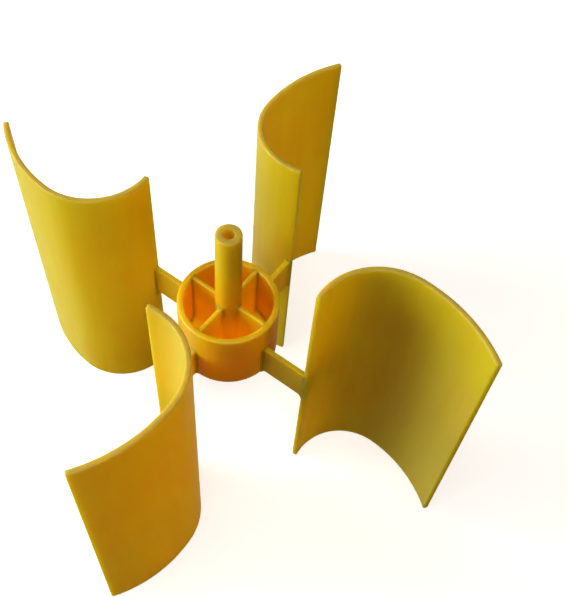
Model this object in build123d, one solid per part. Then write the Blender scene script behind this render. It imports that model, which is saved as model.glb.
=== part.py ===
from build123d import *
import math
import os

# A small moulded wind rotor on a fixed steel axle. Z is the axis it spins on, the lower edges
# of its blades stand on Z = 0, and arm 1 points along +X. Sizes are in millimetres
# and angles in degrees.

# Rotor as a whole
tip_circle_diameter = 100.0  # through the middle of the blades' outer edges
blade_height = 62.5

# Blade section, along the middle of the wall: a tight arc at the root, then a slack arc to the tip
blade_wall = 1.1
root_heading = 102.0  # direction in which the wall leaves the arm, from the arm's own direction
root_arc_radius = 12.0
root_arc_sweep = 100.0
tip_arc_radius = 28.5
tip_arc_sweep = 39.0
blade_edge_round = 0.3
# How far each blade is turned about its root edge, as the thin moulding has set; one blade per value
blade_set = (-2.65, 3.85, -4.65, 2.35)

# Arms, level with the middle of the blades, each a little to one side of the axis
arm_height = 8.0
arm_thickness = 1.1
arm_set_over = 0.8  # from the axis to the middle of the arm's thickness, towards the blade's hollow side
arm_edge_round = 0.25

# Hub: an open cup with a tube up its middle and one web for each arm
hub_diameter = 20.0
hub_height = 15.0
hub_wall = 1.25
hub_rim_round = 0.35
floor_thickness = 1.2
web_thickness = 0.8
web_below_rim = 0.1
web_edge_round = 0.25
tube_diameter = 4.9  # at its top
tube_draft = 0.4  # slope of its side, which widens it downwards
tube_edge_round = 0.3
bore_mouth_round = 0.2

# Steel axle: it carries the rotor on a collar, and its lower end is what a stand holds
axle_diameter = 2.0
running_gap = 0.03  # between the axle and the bore, on the radius
thrust_gap = 0.2  # between the collar and the hub's underside
collar_diameter = 3.6
collar_thickness = 1.0
axle_engagement = 15.0  # length inside the bore
axle_free_length = 9.0  # length below the collar
axle_end_chamfer = 0.2

# What follows from those
blade_count = len(blade_set)
pitch_angle = 360.0 / blade_count
hub_base = (blade_height - arm_height) / 2
hub_top = hub_base + hub_height
floor_top = hub_base + floor_thickness
hub_radius = hub_diameter / 2
cup_radius = hub_radius - hub_wall
tube_top_radius = tube_diameter / 2
tube_length = blade_height - hub_base
tube_base_radius = tube_top_radius + tube_length * math.tan(math.radians(tube_draft))
axle_radius = axle_diameter / 2
bore_radius = axle_radius + running_gap
collar_top = hub_base - thrust_gap
collar_base = collar_top - collar_thickness
upwards = (Align.CENTER, Align.CENTER, Align.MIN)

os.makedirs("parts", exist_ok=True)


def save(shape, node):
    export_step(shape, f"parts/{node}.step")


def rod(radius, base, top):
    """A solid cylinder about the Z axis, from the height base to the height top."""
    return Pos(0, 0, base) * Cylinder(radius, top - base, align=upwards)


def bar(length, thickness, base, top, edge_round):
    """A flat upright bar from the Z axis out along +X, with its four long edges rounded."""
    size = (length, thickness, top - base)
    block = Pos(0, 0, base) * Box(*size, align=(Align.MIN, Align.CENTER, Align.MIN))
    return fillet(block.edges().filter_by(Axis.X), edge_round)


def step_along(point, heading, radius, sweep):
    """The centre and the far end of a clockwise arc that leaves point in the direction heading."""
    to_centre = math.radians(heading - 90)
    centre = point + Vector(math.cos(to_centre), math.sin(to_centre)) * radius
    to_end = math.radians(heading - sweep + 90)
    return centre, centre + Vector(math.cos(to_end), math.sin(to_end)) * radius


# Blade section, first with its root at the origin
tip_heading = root_heading - root_arc_sweep
root_centre, arc_join = step_along(Vector(0, 0), root_heading, root_arc_radius, root_arc_sweep)
tip_centre, tip_point = step_along(arc_join, tip_heading, tip_arc_radius, tip_arc_sweep)

# The root lies flush with the arm's side, as far out as puts the tip on its circle
root_y = -arm_set_over - arm_thickness / 2
tip_x = math.sqrt((tip_circle_diameter / 2) ** 2 - (root_y + tip_point.Y) ** 2)
root_point = Vector(tip_x - tip_point.X, root_y)


def blade_side(offset):
    """The two arcs of one side of the blade, offset outwards from the middle of its wall."""
    root_arc = CenterArc(root_centre, root_arc_radius + offset, root_heading + 90, -root_arc_sweep)
    tip_arc = CenterArc(tip_centre, tip_arc_radius + offset, tip_heading + 90, -tip_arc_sweep)
    return root_arc, tip_arc


def blade_solid():
    """One blade with its root at the origin and all its edges rounded."""
    outer_root, outer_tip = blade_side(blade_wall / 2)
    inner_root, inner_tip = blade_side(-blade_wall / 2)
    root_end = Line(outer_root @ 0, inner_root @ 0)
    tip_end = Line(outer_tip @ 1, inner_tip @ 1)
    section = make_face([outer_root, outer_tip, tip_end, inner_tip, inner_root, root_end])
    ends = [root_end @ 0, root_end @ 1, tip_end @ 0, tip_end @ 1]
    corners = [v for v in section.vertices() if min((Vector(v) - p).length for p in ends) < 0.001]
    wall = extrude(fillet(corners, blade_edge_round), blade_height)
    faces = wall.faces().sort_by(Axis.Z)
    return fillet(faces[0].edges() + faces[-1].edges(), blade_edge_round)


# The tube's outer shape, from the hub's underside up to the level of the blades' tops
tube_body = Pos(0, 0, hub_base) * Cone(tube_base_radius, tube_top_radius, tube_length, align=upwards)

blade = blade_solid()
outer_root_radius = root_arc_radius + blade_wall / 2
root_relief = Pos(*root_centre) * rod(outer_root_radius, 0, blade_height)

# Blades, arms and webs, one of each at every pitch
for number, turn in enumerate(blade_set, start=1):
    around = Rot(0, 0, (number - 1) * pitch_angle)
    at_root = Pos(*root_point) * Rot(0, 0, turn)
    save(around * at_root * blade, f"blade_{number}")

    arm = bar(root_point.X, arm_thickness, hub_base, hub_base + arm_height, arm_edge_round)
    arm = Pos(0, -arm_set_over, 0) * arm - rod(hub_radius, hub_base, hub_top) - at_root * root_relief
    save(around * arm, f"arm_{number}")

    web = bar(hub_radius, web_thickness, floor_top, hub_top - web_below_rim, web_edge_round)
    web = web & rod(cup_radius, floor_top, hub_top) - tube_body
    save(around * web, f"web_{number}")

# Hub ring, with its rim and its lower outer edge rounded
ring = rod(hub_radius, hub_base, hub_top) - rod(cup_radius, hub_base, hub_top)
rim_edges = ring.edges().group_by(Axis.Z)[-1]
lower_edge = ring.edges().group_by(Axis.Z)[0].sort_by(SortBy.RADIUS)[-1]
save(fillet(rim_edges + ShapeList([lower_edge]), hub_rim_round), "hub_ring")

# Hub floor, between the ring and the tube
save(rod(cup_radius, hub_base, floor_top) - tube_body, "hub_floor")

# Tube, bored right through, with its bore's mouth and its top edge rounded
tube = tube_body - rod(bore_radius, hub_base, blade_height)
mouth, top_edge = tube.edges().group_by(Axis.Z)[-1].sort_by(SortBy.RADIUS)
tube = fillet(mouth, bore_mouth_round)
top_edge = tube.edges().group_by(Axis.Z)[-1].sort_by(SortBy.RADIUS)[-1]
save(fillet(top_edge, tube_edge_round), "shaft_tube")

# Axle with its thrust collar, both ends chamfered
axle = rod(axle_radius, collar_base - axle_free_length, hub_base + axle_engagement)
ends = axle.edges().filter_by(GeomType.CIRCLE)
axle = chamfer(ends, axle_end_chamfer) + rod(collar_diameter / 2, collar_base, collar_top)
save(axle, "axle")
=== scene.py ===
import math

import bmesh
import bpy
from mathutils import Matrix, Vector


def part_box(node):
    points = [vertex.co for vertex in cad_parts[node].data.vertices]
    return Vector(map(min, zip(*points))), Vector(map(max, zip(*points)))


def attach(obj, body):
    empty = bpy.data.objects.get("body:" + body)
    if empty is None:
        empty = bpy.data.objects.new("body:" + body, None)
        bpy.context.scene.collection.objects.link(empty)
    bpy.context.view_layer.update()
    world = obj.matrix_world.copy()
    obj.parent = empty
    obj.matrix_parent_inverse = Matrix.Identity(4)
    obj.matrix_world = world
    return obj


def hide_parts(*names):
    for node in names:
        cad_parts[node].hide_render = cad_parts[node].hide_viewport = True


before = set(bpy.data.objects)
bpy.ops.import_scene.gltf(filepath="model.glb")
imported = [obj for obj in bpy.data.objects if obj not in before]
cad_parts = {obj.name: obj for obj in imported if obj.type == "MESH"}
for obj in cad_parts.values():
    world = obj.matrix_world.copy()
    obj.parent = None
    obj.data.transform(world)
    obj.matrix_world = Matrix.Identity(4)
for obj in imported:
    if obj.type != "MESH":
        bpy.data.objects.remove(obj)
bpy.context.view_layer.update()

mm = 0.001
up = Vector((0, 0, 1))
noiseBand = (0.3, 0.7)  # where nearly all of a noise's values lie

# Heights and radii that the frame settles
bladeLow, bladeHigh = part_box("blade_1")
ringLow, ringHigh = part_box("hub_ring")
floorLow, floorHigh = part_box("hub_floor")
armLow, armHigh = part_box("arm_1")
webLow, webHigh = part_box("web_1")
tubeLow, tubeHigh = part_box("shaft_tube")
axleLow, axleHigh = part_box("axle")
armThickness = armHigh.y - armLow.y
armMiddle = (armHigh.y + armLow.y) / 2  # the arm stands this far to one side of the axis
hubRadius = ringHigh.x
cupRadius = floorHigh.x
tubeBaseRadius = tubeHigh.x
print("frame read")


def outwards(angle):
    # unit vector in plan, angle in radians from +X
    return Vector((math.cos(angle), math.sin(angle), 0))


def newMaterial(name, viewportColour):
    material = bpy.data.materials.new(name)
    material.use_nodes = True
    material.diffuse_color = viewportColour
    tree = material.node_tree
    return material, tree, tree.nodes["Principled BSDF"]


def objectPlace(tree):
    return tree.nodes.new("ShaderNodeTexCoord").outputs["Object"]


def stretched(tree, place, scale):
    node = tree.nodes.new("ShaderNodeMapping")
    node.inputs["Scale"].default_value = scale
    tree.links.new(place, node.inputs["Vector"])
    return node.outputs["Vector"]


def noiseOn(tree, place, settings):
    # settings are the noise's scale, detail and roughness
    scale, detail, roughness = settings
    node = tree.nodes.new("ShaderNodeTexNoise")
    node.inputs["Scale"].default_value = scale
    node.inputs["Detail"].default_value = detail
    node.inputs["Roughness"].default_value = roughness
    tree.links.new(place, node.inputs["Vector"])
    return node.outputs["Fac"]


def rangeOf(tree, value, fromRange, toRange, smooth=False):
    node = tree.nodes.new("ShaderNodeMapRange")
    node.interpolation_type = "SMOOTHSTEP" if smooth else "LINEAR"
    node.inputs["From Min"].default_value, node.inputs["From Max"].default_value = fromRange
    node.inputs["To Min"].default_value, node.inputs["To Max"].default_value = toRange
    tree.links.new(value, node.inputs["Value"])
    return node.outputs["Result"]


def plugIn(tree, socket, value):
    # a number or colour is set on the socket, and an output is linked to it
    if isinstance(value, bpy.types.NodeSocket):
        tree.links.new(value, socket)
    else:
        socket.default_value = value


def maths(tree, operation, first, second):
    node = tree.nodes.new("ShaderNodeMath")
    node.operation = operation
    plugIn(tree, node.inputs[0], first)
    plugIn(tree, node.inputs[1], second)
    return node.outputs["Value"]


def blendColours(tree, factor, first, second, blend="MIX"):
    node = tree.nodes.new("ShaderNodeMix")
    node.data_type = "RGBA"
    node.blend_type = blend
    node.clamp_factor = True
    tree.links.new(factor, node.inputs["Factor"])
    firstSocket, secondSocket = [socket for socket in node.inputs if socket.type == "RGBA"]
    plugIn(tree, firstSocket, first)
    plugIn(tree, secondSocket, second)
    return [socket for socket in node.outputs if socket.type == "RGBA"][0]


def bumpFrom(tree, height, distance, strength, under=None):
    node = tree.nodes.new("ShaderNodeBump")
    node.inputs["Distance"].default_value = distance
    node.inputs["Strength"].default_value = strength
    tree.links.new(height, node.inputs["Height"])
    if under is not None:
        tree.links.new(under, node.inputs["Normal"])
    return node.outputs["Normal"]


plasticLook = {
    "yellow": (0.95, 0.53, 0.002, 1),
    "paleYellow": (0.97, 0.6, 0.008, 1),
    "streakYellow": (0.99, 0.66, 0.03, 1),
    # painted shade: a deeper orange for shade and for light bounced through the plastic, over the hub and
    # down the tube
    "hubShadeOrange": (0.97, 0.38, 0.001, 1),
    # painted shade on the blades' rims, duller and darker than the yellow
    "rimShadeYellow": (0.5, 0.38, 0.05, 1),
    # each noise has its scale, detail and roughness
    "cloudNoise": (45, 4, 0.5),
    "cloudBand": (0.35, 0.65),
    "streakNoise": (420, 3, 0.5),
    "streakSquash": (1, 1, 0.08),  # draws the streaks out upright
    "streakBand": (0.42, 0.72),
    "streakAmount": 0.4,
    # the rims' band and patches carry painted shade in colour and real rubbing in roughness
    "rimBandDepth": 0.5 * mm,
    "rimPatchNoise": (260, 2, 0.5),
    "rimPatchLeast": 0.65,
    "rubRoughness": 0.25,
    # how much painted orange shade falls on the hub, inside the cup and down the tube
    "hubOrange": 0.6,
    "hubFadeOutwards": 2 * mm,
    "hubFadeUpwards": (-6 * mm, 8 * mm),  # from the rim's height
    "cupPaler": 0.35,
    "cupEdge": (-1 * mm, 0.2 * mm),  # from the cup's radius
    "tubeOrange": 0.5,
    "tubeEdge": 0.3 * mm,
    "tubePaleTop": 3 * mm,
    # painted glow inside the cup: its colour, strength and fade
    "cupLight": (1, 0.33, 0, 1),
    "cupLightStrength": 0.14,
    "cupLightFade": 8 * mm,  # down from the rim
    "roughness": (0.30, 0.42),
    "glossNoise": (90, 5, 0.6),
    "scuffNoise": (900, 6, 0.75),
    "scuffBand": (0.62, 0.72),
    "scuffRoughness": 0.08,
    "waveNoise": (70, 2, 0.5),
    "waveDepth": 0.25 * mm,
    "waveStrength": 0.5,
    "grainNoise": (2600, 3, 0.5),
    "grainDepth": 0.01 * mm,
    "grainStrength": 0.4,
    "ior": 1.5,
    "specular": 0.5,
    "glow": 0.95,
    "glowReach": (1.0, 0.67, 0.1),
    "glowDepth": 5.0 * mm,
}


def heightAndRadius(tree, place):
    split = tree.nodes.new("ShaderNodeSeparateXYZ")
    tree.links.new(place, split.inputs["Vector"])
    flatten = tree.nodes.new("ShaderNodeVectorMath")
    flatten.operation = "MULTIPLY"
    flatten.inputs[1].default_value = (1, 1, 0)
    tree.links.new(place, flatten.inputs[0])
    fromAxis = tree.nodes.new("ShaderNodeVectorMath")
    fromAxis.operation = "LENGTH"
    tree.links.new(flatten.outputs["Vector"], fromAxis.inputs[0])
    return split.outputs["Z"], fromAxis.outputs["Value"]


def rubbedAndShadedRims(tree, place, height):
    # the blades' upper and lower edges in patches: painted shade as a duller, darker colour, and real
    # rubbing that makes them rougher
    look = plasticLook
    depth = look["rimBandDepth"]
    top = rangeOf(tree, height, (bladeHigh.z - depth, bladeHigh.z), (0, 1), True)
    bottom = rangeOf(tree, height, (bladeLow.z, bladeLow.z + depth), (1, 0), True)
    spots = noiseOn(tree, place, look["rimPatchNoise"])
    spots = rangeOf(tree, spots, noiseBand, (look["rimPatchLeast"], 1))
    return maths(tree, "MULTIPLY", maths(tree, "MAXIMUM", top, bottom), spots)


def paintedHubShade(tree, height, radius, insideCup):
    # painted shade: a deeper orange stands in for shade and for light bounced through the plastic, over
    # the hub up to its rim, paler inside the cup, and down the tube fading upwards
    look = plasticLook
    hubEdge = (hubRadius, hubRadius + look["hubFadeOutwards"])
    inHub = rangeOf(tree, radius, hubEdge, (look["hubOrange"], 0), True)
    belowRim = rangeOf(tree, height, [ringHigh.z + step for step in look["hubFadeUpwards"]], (1, 0), True)
    paler = maths(tree, "MULTIPLY", insideCup, look["cupPaler"])
    hub = maths(tree, "MULTIPLY", maths(tree, "SUBTRACT", inHub, paler), belowRim)
    tubeEdge = (tubeBaseRadius, tubeBaseRadius + look["tubeEdge"])
    inTube = rangeOf(tree, radius, tubeEdge, (look["tubeOrange"], 0))
    downTube = rangeOf(tree, height, (ringHigh.z, tubeHigh.z - look["tubePaleTop"]), (1, 0), True)
    return maths(tree, "MAXIMUM", hub, maths(tree, "MULTIPLY", inTube, downTube))


def plasticColour(tree, place, rimRubAndShade, hubShade):
    look = plasticLook
    clouds = rangeOf(tree, noiseOn(tree, place, look["cloudNoise"]), look["cloudBand"], (0, 1))
    colour = blendColours(tree, clouds, look["yellow"], look["paleYellow"])
    streaks = noiseOn(tree, stretched(tree, place, look["streakSquash"]), look["streakNoise"])
    streaks = rangeOf(tree, streaks, look["streakBand"], (0, look["streakAmount"]))
    colour = blendColours(tree, streaks, colour, look["streakYellow"])
    # painted shade in patches on the blades' rims
    colour = blendColours(tree, rimRubAndShade, colour, look["rimShadeYellow"])
    # painted orange shade over the hub and down the tube
    return blendColours(tree, hubShade, colour, look["hubShadeOrange"])


def plasticRoughness(tree, place, rimRubAndShade):
    # satin that varies, with faint scuffs, and duller where it is rubbed
    look = plasticLook
    satin = rangeOf(tree, noiseOn(tree, place, look["glossNoise"]), noiseBand, look["roughness"])
    scuffs = noiseOn(tree, place, look["scuffNoise"])
    scuffs = rangeOf(tree, scuffs, look["scuffBand"], (0, look["scuffRoughness"]))
    worn = maths(tree, "ADD", scuffs, maths(tree, "MULTIPLY", rimRubAndShade, look["rubRoughness"]))
    return maths(tree, "ADD", satin, worn)


def makePlastic():
    look = plasticLook
    material, tree, shader = newMaterial("satinYellowPlastic", look["yellow"])
    place = objectPlace(tree)
    height, radius = heightAndRadius(tree, place)
    # the rims' patches: painted shade in colour, real rubbing in roughness
    rimRubAndShade = rubbedAndShadedRims(tree, place, height)
    insideCup = rangeOf(tree, radius, [cupRadius + step for step in look["cupEdge"]], (1, 0), True)
    # where the painted orange shade falls on the hub and tube
    hubShade = paintedHubShade(tree, height, radius, insideCup)
    tree.links.new(plasticColour(tree, place, rimRubAndShade, hubShade), shader.inputs["Base Color"])
    tree.links.new(plasticRoughness(tree, place, rimRubAndShade), shader.inputs["Roughness"])

    # painted glow: an orange emission down inside the cup stands in for light that comes through the thin
    # plastic
    downInCup = rangeOf(tree, height, (ringHigh.z - look["cupLightFade"], ringHigh.z), (1, 0), True)
    paintedCupGlow = maths(tree, "MULTIPLY", insideCup, downInCup)
    paintedCupGlow = maths(tree, "MULTIPLY", paintedCupGlow, look["cupLightStrength"])
    tree.links.new(paintedCupGlow, shader.inputs["Emission Strength"])
    shader.inputs["Emission Color"].default_value = look["cupLight"]

    # slight waves in the wall, and a fine grain from the mould
    waves = noiseOn(tree, place, look["waveNoise"])
    grain = noiseOn(tree, place, look["grainNoise"])
    normal = bumpFrom(tree, waves, look["waveDepth"], look["waveStrength"])
    normal = bumpFrom(tree, grain, look["grainDepth"], look["grainStrength"], normal)
    tree.links.new(normal, shader.inputs["Normal"])

    shader.inputs["IOR"].default_value = look["ior"]
    shader.inputs["Specular IOR Level"].default_value = look["specular"]
    shader.inputs["Subsurface Weight"].default_value = look["glow"]
    shader.inputs["Subsurface Radius"].default_value = look["glowReach"]
    shader.inputs["Subsurface Scale"].default_value = look["glowDepth"]
    return material


steelLook = {
    "bright": (0.66, 0.66, 0.67, 1),
    "dull": (0.42, 0.42, 0.44, 1),
    "roughness": (0.18, 0.36),
    "tarnishNoise": (350, 4, 0.5),
    "tarnishBand": (0.4, 0.7),
    "ringNoise": (9000, 4, 0.7),
    "ringSquash": (0.03, 0.03, 1),
    "ringDepth": 0.004 * mm,
    "ringStrength": 0.5,
}


def makeSteel():
    look = steelLook
    material, tree, shader = newMaterial("groundSteel", look["bright"])
    place = objectPlace(tree)
    # rings left by turning, close together along the axle
    rings = noiseOn(tree, stretched(tree, place, look["ringSquash"]), look["ringNoise"])
    tarnish = rangeOf(tree, noiseOn(tree, place, look["tarnishNoise"]), look["tarnishBand"], (0, 1))
    colour = blendColours(tree, tarnish, look["bright"], look["dull"])
    tree.links.new(colour, shader.inputs["Base Color"])
    tree.links.new(rangeOf(tree, rings, noiseBand, look["roughness"]), shader.inputs["Roughness"])
    normal = bumpFrom(tree, rings, look["ringDepth"], look["ringStrength"])
    tree.links.new(normal, shader.inputs["Normal"])
    shader.inputs["Metallic"].default_value = 1
    return material


plastic = makePlastic()
steel = makeSteel()
print("materials made")

weldDistance = 0.0005 * mm  # points closer than this become one
cutDistance = 0.0001 * mm  # a cut runs through points closer than this


def bevelParts(bm, parts, offset, steps, affect):
    bmesh.ops.bevel(
        bm, geom=parts, offset=offset, offset_type="OFFSET", segments=steps,
        profile=0.5, affect=affect, material=-1, clamp_overlap=True,
    )


def finishPiece(bm, name, node, body="rotor", material=plastic):
    # closes the mesh, turns it outwards, and hangs it on its body in the node's place
    bmesh.ops.remove_doubles(bm, verts=bm.verts[:], dist=weldDistance)
    bmesh.ops.recalc_face_normals(bm, faces=bm.faces[:])
    for face in bm.faces:
        face.smooth = True
    openEdges = sum(not edge.is_manifold for edge in bm.edges)
    mesh = bpy.data.meshes.new(name)
    bm.to_mesh(mesh)
    bm.free()
    mesh.materials.append(material)
    piece = bpy.data.objects.new(name, mesh)
    bpy.context.scene.collection.objects.link(piece)
    piece.modifiers.new("evenShading", "WEIGHTED_NORMAL")
    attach(piece, body)
    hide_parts(node)
    print(name, len(mesh.polygons), "faces,", openEdges, "open edges")


bladeShape = {
    "tipCircle": 100 * mm,  # through the middle of the blades' outer edges
    "wall": 1.1 * mm,
    "rootHeading": 102,
    "rootRadius": 12 * mm,
    "rootSweep": 100,
    "tipRadius": 28.5 * mm,
    "tipSweep": 39,
    "edgeRound": 0.3 * mm,
    "sharpAngle": 60,  # edges at least this sharp are rounded
    "turns": (-2.65, 3.85, -4.65, 2.35),  # how far each blade has set out of true, in degrees
    "rootSteps": 48,
    "tipSteps": 28,
    "edgeSteps": 4,
}
bladeNumbers = range(1, len(bladeShape["turns"]) + 1)


def turnRound(number):
    # from blade 1's place to this one's
    return Matrix.Rotation(2 * math.pi * (number - 1) / len(bladeNumbers), 4, "Z")


def sweepEdge(bm, edge, heading, radius, sweep, steps):
    # sweeps the edge round an arc that leaves its middle clockwise, and gives the last edge
    middle = (edge.verts[0].co + edge.verts[1].co) / 2
    centre = middle + outwards(heading - math.pi / 2) * radius
    swept = bmesh.ops.spin(
        bm, geom=[edge, *edge.verts], cent=centre, axis=up, dvec=(0, 0, 0), angle=-sweep,
        steps=steps, use_merge=False, use_normal_flip=False, use_duplicate=False,
    )
    return [part for part in swept["geom_last"] if isinstance(part, bmesh.types.BMEdge)][0]


def makeBlade(number):
    # makes one blade and gives how far from the axis its root stands
    shape = bladeShape
    bm = bmesh.new()
    heading = math.radians(shape["rootHeading"])
    halfWall = outwards(heading + math.pi / 2) * shape["wall"] / 2
    rootEdge = bm.edges.new([bm.verts.new(halfWall), bm.verts.new(-halfWall)])
    rootSweep = math.radians(shape["rootSweep"])
    tipSweep = math.radians(shape["tipSweep"])
    joinEdge = sweepEdge(bm, rootEdge, heading, shape["rootRadius"], rootSweep, shape["rootSteps"])
    tipEdge = sweepEdge(bm, joinEdge, heading - rootSweep, shape["tipRadius"], tipSweep, shape["tipSteps"])
    tip = (tipEdge.verts[0].co + tipEdge.verts[1].co) / 2

    raised = bmesh.ops.extrude_face_region(bm, geom=bm.faces[:])
    lifted = [part for part in raised["geom"] if isinstance(part, bmesh.types.BMVert)]
    bmesh.ops.translate(bm, verts=lifted, vec=up * (bladeHigh.z - bladeLow.z))
    bmesh.ops.recalc_face_normals(bm, faces=bm.faces[:])
    sharpAngle = math.radians(shape["sharpAngle"])
    sharpEdges = [edge for edge in bm.edges if edge.calc_face_angle(0) > sharpAngle]
    bevelParts(bm, sharpEdges, shape["edgeRound"], shape["edgeSteps"], "EDGES")

    rootX = math.sqrt((shape["tipCircle"] / 2) ** 2 - (armLow.y + tip.y) ** 2) - tip.x
    turn = Matrix.Rotation(math.radians(shape["turns"][number - 1]), 4, "Z")
    bm.transform(turnRound(number) @ Matrix.Translation((rootX, armLow.y, bladeLow.z)) @ turn)
    finishPiece(bm, f"bladeShell_{number}", f"blade_{number}")
    return rootX


for number in bladeNumbers:
    rootX = makeBlade(number)
print("blades made")

armShape = {
    "edgeRound": 0.25 * mm,
    "edgeSteps": 4,
    "hubFillet": 0.6 * mm,
    "bladeSideFillet": 0.6 * mm,
    "bladeTopFillet": 0.2 * mm,
    "bladeLowFillet": 1.2 * mm,
    "filletSteps": 5,
    "sunk": 0.3 * mm,  # into the walls at both ends
}
webShape = {
    "edgeRound": 0.25 * mm,
    "edgeSteps": 4,
    "fillet": 0.5 * mm,
    "filletSteps": 5,
    "sunk": 0.3 * mm,
    "tubeOverlap": 0.15 * mm,  # the tube tapers, so the web starts a little inside its foot
}


def makeBar(start, end, thickness, base, top, shape, startFillet, endFillet):
    # flat bar along +X, sunk into the walls at start and end and cut across where fillets will flare it
    bm = bmesh.new()
    bmesh.ops.create_cube(bm, size=1)
    length = end - start + 2 * shape["sunk"]
    bmesh.ops.scale(bm, vec=(length, thickness, top - base), verts=bm.verts[:])
    bmesh.ops.translate(bm, vec=((start + end) / 2, 0, (base + top) / 2), verts=bm.verts[:])
    longEdges = [edge for edge in bm.edges if abs(edge.verts[0].co.x - edge.verts[1].co.x) > length / 2]
    bevelParts(bm, longEdges, shape["edgeRound"], shape["edgeSteps"], "EDGES")
    for step in range(shape["filletSteps"] + 1):
        nearness = 1 - math.sin(math.pi / 2 * step / shape["filletSteps"])
        for station in (start + startFillet * nearness, end - endFillet * nearness):
            bmesh.ops.bisect_plane(
                bm, geom=bm.verts[:] + bm.edges[:] + bm.faces[:], plane_co=(station, 0, 0),
                plane_no=(1, 0, 0), dist=cutDistance,
            )
    return bm


def flare(distance, radius):
    # how far a fillet of this radius stands out at a distance from the wall
    reach = radius - max(distance, 0)
    return radius - math.sqrt(radius**2 - reach**2) if reach > 0 else 0


def makeArm(number, rootX):
    shape = armShape
    turn = math.radians(bladeShape["turns"][number - 1])
    towardsCentre = outwards(math.radians(bladeShape["rootHeading"]) - math.pi / 2 + turn)
    centre = Vector((rootX, armLow.y, 0)) + towardsCentre * bladeShape["rootRadius"]
    outerRadius = bladeShape["rootRadius"] + bladeShape["wall"] / 2

    def wallAt(y):
        return centre.x - math.sqrt(outerRadius**2 - (y - centre.y) ** 2)

    start = math.sqrt(hubRadius**2 - armMiddle**2)
    end = wallAt(armMiddle)
    hubFillet = shape["hubFillet"]
    bm = makeBar(start, end, armThickness, armLow.z, armHigh.z, shape, hubFillet, shape["bladeLowFillet"])
    for vert in bm.verts:
        x, y, z = vert.co
        atHub = flare(x - start, hubFillet)
        if x > (start + end) / 2:
            vert.co.x += wallAt(y + armMiddle) - end
        vert.co.y += math.copysign(atHub, y)
        if y > 0:
            vert.co.y += flare(end - x, shape["bladeSideFillet"])
        if z > (armLow.z + armHigh.z) / 2:
            vert.co.z += atHub + flare(end - x, shape["bladeTopFillet"])
        else:
            vert.co.z -= flare(end - x, shape["bladeLowFillet"])
    bm.transform(turnRound(number) @ Matrix.Translation((0, armMiddle, 0)))
    finishPiece(bm, f"armBar_{number}", f"arm_{number}")


def makeWeb(number):
    shape = webShape
    fillet = shape["fillet"]
    start = tubeBaseRadius - shape["tubeOverlap"]
    base = webLow.z - shape["sunk"]
    bm = makeBar(start, cupRadius, webHigh.y - webLow.y, base, webHigh.z, shape, fillet, fillet)
    for vert in bm.verts:
        rise = flare(min(vert.co.x - start, cupRadius - vert.co.x), fillet)
        vert.co.y += math.copysign(rise, vert.co.y)
        if vert.co.z > (webLow.z + webHigh.z) / 2 and vert.co.x < (start + cupRadius) / 2:
            vert.co.z += rise
    bm.transform(turnRound(number))
    finishPiece(bm, f"webRib_{number}", f"web_{number}")


for number in bladeNumbers:
    makeArm(number, rootX)
    makeWeb(number)
print("arms and webs made")

roundSteps = 128


def spinProfile(corners, rounds):
    # closed profile of (radius, height) corners, some rounded, turned once about the Z axis
    bm = bmesh.new()
    verts = [bm.verts.new((radius, 0, height)) for radius, height in corners]
    for first, second in zip(verts, verts[1:] + verts[:1]):
        if first.co.x > 0 or second.co.x > 0:  # no edge along the axis itself
            bm.edges.new((first, second))
    for index, (offset, steps) in rounds.items():
        bevelParts(bm, [verts[index]], offset, steps, "VERTICES")
    bmesh.ops.spin(
        bm, geom=bm.verts[:] + bm.edges[:], cent=(0, 0, 0), axis=up, dvec=(0, 0, 0),
        angle=2 * math.pi, steps=roundSteps, use_merge=True, use_normal_flip=False,
        use_duplicate=False,
    )
    return bm


hubShape = {
    "rimRound": (0.35 * mm, 4),  # radius and steps, as for the other rounds
    "floorFillet": 0.6 * mm,
    "floorFilletShare": 0.98,  # the round stops just short of the corner above it
    "floorFilletSteps": 5,
    "sunk": 0.3 * mm,
}


def makeHubCup():
    rimRound = hubShape["rimRound"]
    corners = [
        (cupRadius, ringLow.z),
        (hubRadius, ringLow.z),
        (hubRadius, ringHigh.z),
        (cupRadius, ringHigh.z),
    ]
    bm = spinProfile(corners, {1: rimRound, 2: rimRound, 3: rimRound})
    finishPiece(bm, "hubCup", "hub_ring")


def makeCupFloor():
    # its edge turns up into the ring and the tube with a fillet
    shape = hubShape
    sunk = shape["sunk"]
    filletTop = floorHigh.z + shape["floorFillet"]
    corners = [
        (tubeBaseRadius - sunk, floorLow.z),
        (cupRadius + sunk, floorLow.z),
        (cupRadius + sunk, filletTop),
        (cupRadius, filletTop),
        (cupRadius, floorHigh.z),
        (tubeBaseRadius, floorHigh.z),
        (tubeBaseRadius, filletTop),
        (tubeBaseRadius - sunk, filletTop),
    ]
    fillet = (shape["floorFillet"] * shape["floorFilletShare"], shape["floorFilletSteps"])
    bm = spinProfile(corners, {4: fillet, 5: fillet})
    finishPiece(bm, "cupFloor", "hub_floor")


tubeShape = {
    "topRadius": 2.45 * mm,
    "boreRadius": 1.03 * mm,
    "topRound": (0.3 * mm, 5),
    "mouthRound": (0.2 * mm, 4),
}


def makeTube():
    shape = tubeShape
    corners = [
        (shape["boreRadius"], tubeLow.z),
        (tubeBaseRadius, tubeLow.z),
        (shape["topRadius"], tubeHigh.z),
        (shape["boreRadius"], tubeHigh.z),
    ]
    bm = spinProfile(corners, {2: shape["topRound"], 3: shape["mouthRound"]})
    finishPiece(bm, "centreTube", "shaft_tube")


axleShape = {
    "radius": 1.0 * mm,
    "thrustGap": 0.2 * mm,  # between the collar and the hub's underside
    "collarThickness": 1.0 * mm,
    "chamfer": (0.2 * mm, 1),
    "collarRound": (0.1 * mm, 3),
}


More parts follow.
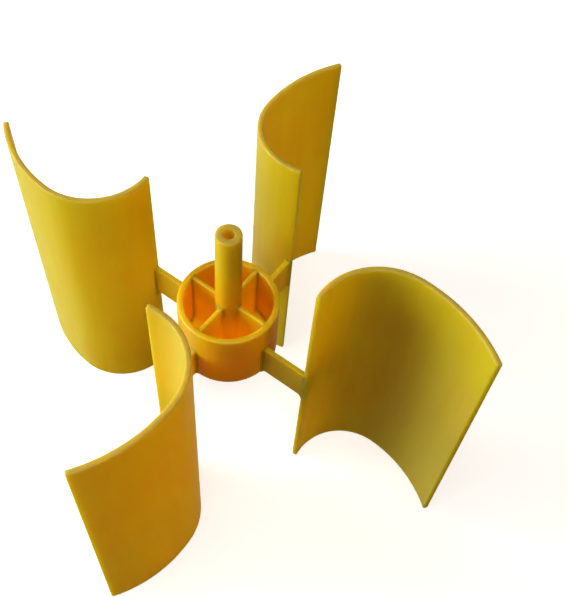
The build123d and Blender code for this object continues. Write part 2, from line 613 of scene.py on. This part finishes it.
def makeAxle():
    shape = axleShape
    radius = shape["radius"]
    collarRadius = axleHigh.x
    collarTop = tubeLow.z - shape["thrustGap"]
    collarBase = collarTop - shape["collarThickness"]
    corners = [
        (0, axleLow.z),
        (radius, axleLow.z),
        (radius, collarBase),
        (collarRadius, collarBase),
        (collarRadius, collarTop),
        (radius, collarTop),
        (radius, axleHigh.z),
        (0, axleHigh.z),
    ]
    rounds = {1: shape["chamfer"], 3: shape["collarRound"], 4: shape["collarRound"], 6: shape["chamfer"]}
    bm = spinProfile(corners, rounds)
    finishPiece(bm, "steelAxle", "axle", "axle", steel)


makeHubCup()
makeCupFloor()
makeTube()
makeAxle()
print("hub, tube and axle made")

studio = {
    "floorSize": 2,
    "floorColour": (0.86, 0.86, 0.86, 1),
    "floorMottle": (0.88, 0.88, 0.88, 1),
    "mottleNoise": (3, 2, 0.5),
    "floorRoughness": 0.9,
    "floorSpecular": 0.1,
    "floorLift": 0.6,
    "skyDark": (0.02, 0.02, 0.02, 1),
    # azimuth in degrees and colour of the pale sides, below the horizon
    "paleSides": ((160, (0.66, 0.62, 0.37, 1)), (258, (0.08, 0.07, 0.03, 1))),
    "horizonBlur": (-0.05, 0.05),
    "paleSideEdge": (-0.1, 0.6),
    "backdrop": (0.95, 0.95, 0.95, 1),
    "aim": (0, 0, 30 * mm),
    "lampDistance": 0.8,
}
# azimuth and elevation in degrees, size in metres, power in watts
lamps = {
    "leftWindow": {"azimuth": 210, "elevation": 8, "size": 0.4, "power": 2.9, "colour": (1, 1, 1)},
    "frontWindow": {"azimuth": 240, "elevation": 8, "size": 0.4, "power": 2.3, "colour": (1, 1, 1)},
    "leftHigh": {"azimuth": 215, "elevation": 35, "size": 0.45, "power": 2.5, "colour": (1, 1, 1)},
    "backWindow": {"azimuth": 150, "elevation": 8, "size": 0.4, "power": 0.6, "colour": (1, 1, 1)},
    "topPanel": {"azimuth": 320, "elevation": 76, "size": 0.5, "power": 2.8, "colour": (1, 0.9, 0.75)},
    "sideFill": {"azimuth": 5, "elevation": 8, "size": 0.4, "power": 0.65, "colour": (1, 0.75, 0.45)},
}


def makeStudioFloor():
    material, tree, shader = newMaterial("paleFloor", studio["floorColour"])
    mottle = rangeOf(tree, noiseOn(tree, objectPlace(tree), studio["mottleNoise"]), noiseBand, (0, 1))
    colour = blendColours(tree, mottle, studio["floorColour"], studio["floorMottle"])
    tree.links.new(colour, shader.inputs["Base Color"])
    shader.inputs["Roughness"].default_value = studio["floorRoughness"]
    shader.inputs["Specular IOR Level"].default_value = studio["floorSpecular"]
    shader.inputs["Emission Color"].default_value = (1, 1, 1, 1)
    shader.inputs["Emission Strength"].default_value = studio["floorLift"]
    bm = bmesh.new()
    bmesh.ops.create_grid(bm, x_segments=1, y_segments=1, size=studio["floorSize"])
    mesh = bpy.data.meshes.new("studioFloor")
    bm.to_mesh(mesh)
    bm.free()
    mesh.materials.append(material)
    floor = bpy.data.objects.new("studioFloor", mesh)
    bpy.context.scene.collection.objects.link(floor)
    # bright to look at, but throws no light back up at the plastic
    floor.visible_diffuse = False
    floor.visible_glossy = False


def makeSky():
    world = bpy.data.worlds.new("softSky")
    world.use_nodes = True
    tree = world.node_tree
    direction = tree.nodes.new("ShaderNodeTexCoord").outputs["Generated"]
    split = tree.nodes.new("ShaderNodeSeparateXYZ")
    tree.links.new(direction, split.inputs["Vector"])
    below = rangeOf(tree, split.outputs["Z"], studio["horizonBlur"], (1, 0))
    sky = studio["skyDark"]
    for azimuth, colour in studio["paleSides"]:
        facing = tree.nodes.new("ShaderNodeVectorMath")
        facing.operation = "DOT_PRODUCT"
        facing.inputs[1].default_value = outwards(math.radians(azimuth))
        tree.links.new(direction, facing.inputs[0])
        towards = rangeOf(tree, facing.outputs["Value"], studio["paleSideEdge"], (0, 1), True)
        sky = blendColours(tree, maths(tree, "MULTIPLY", below, towards), sky, colour, "ADD")
    # a white backdrop where the camera sees past the floor
    seen = tree.nodes.new("ShaderNodeLightPath").outputs["Is Camera Ray"]
    sky = blendColours(tree, seen, sky, studio["backdrop"])
    tree.links.new(sky, tree.nodes["Background"].inputs["Color"])
    bpy.context.scene.world = world


def makeLamps():
    for name, lamp in lamps.items():
        elevation = math.radians(lamp["elevation"])
        towards = outwards(math.radians(lamp["azimuth"])) * math.cos(elevation) + up * math.sin(elevation)
        data = bpy.data.lights.new(name, "AREA")
        data.shape = "DISK"
        data.size = lamp["size"]
        data.energy = lamp["power"]
        data.color = lamp["colour"]
        light = bpy.data.objects.new(name, data)
        light.location = Vector(studio["aim"]) + towards * studio["lampDistance"]
        light.rotation_euler = (-towards).to_track_quat("-Z", "Y").to_euler()
        bpy.context.scene.collection.objects.link(light)


# angles in degrees
viewpoint = {
    "place": (57.423 * mm, -73.289 * mm, 180.478 * mm),
    "heading": 125.276,
    "lookingDown": 55.164,
    "roll": 2.579,
    "lens": 52.01,
    "sensor": 36,
    "shift": (0.0533, -0.0203),
    "clipStart": 0.01,
}


def makeCamera():
    data = bpy.data.cameras.new("camera")
    data.sensor_width = viewpoint["sensor"]
    data.lens = viewpoint["lens"]
    data.shift_x, data.shift_y = viewpoint["shift"]
    data.clip_start = viewpoint["clipStart"]
    camera = bpy.data.objects.new("camera", data)
    heading = Matrix.Rotation(math.radians(viewpoint["heading"] - 90), 4, "Z")
    tilt = Matrix.Rotation(math.radians(90 - viewpoint["lookingDown"]), 4, "X")
    roll = Matrix.Rotation(math.radians(viewpoint["roll"]), 4, "Z")
    camera.matrix_world = Matrix.Translation(viewpoint["place"]) @ heading @ tilt @ roll
    bpy.context.scene.collection.objects.link(camera)
    bpy.context.scene.camera = camera


makeStudioFloor()
makeSky()
makeLamps()
makeCamera()
bpy.context.scene.view_settings.view_transform = "Standard"
print("floor, light and camera made")
